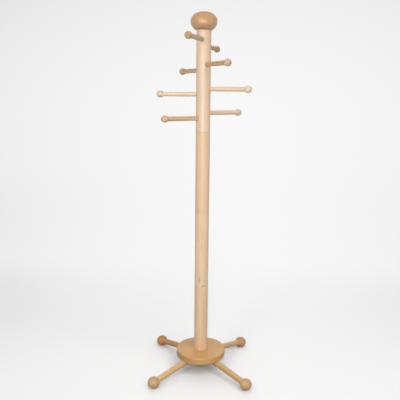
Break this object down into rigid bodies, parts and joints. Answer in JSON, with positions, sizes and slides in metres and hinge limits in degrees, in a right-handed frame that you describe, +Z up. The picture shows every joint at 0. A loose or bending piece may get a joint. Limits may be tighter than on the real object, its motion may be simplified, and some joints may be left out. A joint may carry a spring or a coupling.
{
  "type": "standing coat rack",
  "caption": "Free-standing turned-wood coat rack: a sectioned round pole with spiralling ball-ended pegs, a mushroom finial and a round base on splayed ball-footed legs.",
  "frame": {"origin": "on the floor, under the pole's axis", "axes": "+Z up along the pole; the legs point halfway between the X and Y axes; the lowest face of every foot lies at z = 0"},
  "size_m": [0.5112, 0.5112, 1.7976],
  "materials": {
    "beech_pole_upper": "clear satin lacquer on pale beech",
    "beech_pole_lower": "clear satin lacquer on tan beech",
    "beech_base": "clear satin lacquer on honey-coloured beech",
    "beech_legs": "clear satin lacquer on honey-coloured beech",
    "beech_feet": "clear satin lacquer on turned beech balls",
    "beech_pegs": "clear satin lacquer on pale beech",
    "beech_finial": "clear satin lacquer on darker turned beech",
    "steel_hardware": "bright zinc plating"
  },
  "bodies": {
    "root": {"leg_1": "beech_legs", "foot_ball_1": "beech_feet", "leg_2": "beech_legs", "foot_ball_2": "beech_feet", "leg_3": "beech_legs", "foot_ball_3": "beech_feet", "leg_4": "beech_legs", "foot_ball_4": "beech_feet", "base_disc": "beech_base", "base_hub": "beech_base", "base_washer": "steel_hardware", "base_screw": "steel_hardware", "base_insert": "steel_hardware", "pole_lower": "beech_pole_lower", "pole_lower_middle": "beech_pole_lower", "pole_upper_middle": "beech_pole_upper", "pole_upper": "beech_pole_upper", "lower_joint_bolt": "steel_hardware", "lower_joint_insert": "steel_hardware", "middle_joint_bolt": "steel_hardware", "middle_joint_insert": "steel_hardware", "upper_joint_bolt": "steel_hardware", "upper_joint_insert": "steel_hardware", "peg_1": "beech_pegs", "knob_1": "beech_pegs", "peg_2": "beech_pegs", "knob_2": "beech_pegs", "peg_3": "beech_pegs", "knob_3": "beech_pegs", "peg_4": "beech_pegs", "knob_4": "beech_pegs", "peg_5": "beech_pegs", "knob_5": "beech_pegs", "peg_6": "beech_pegs", "knob_6": "beech_pegs", "peg_7": "beech_pegs", "knob_7": "beech_pegs", "peg_8": "beech_pegs", "knob_8": "beech_pegs", "finial_dowel": "beech_pegs", "finial": "beech_finial"}
  },
  "joints": []
}
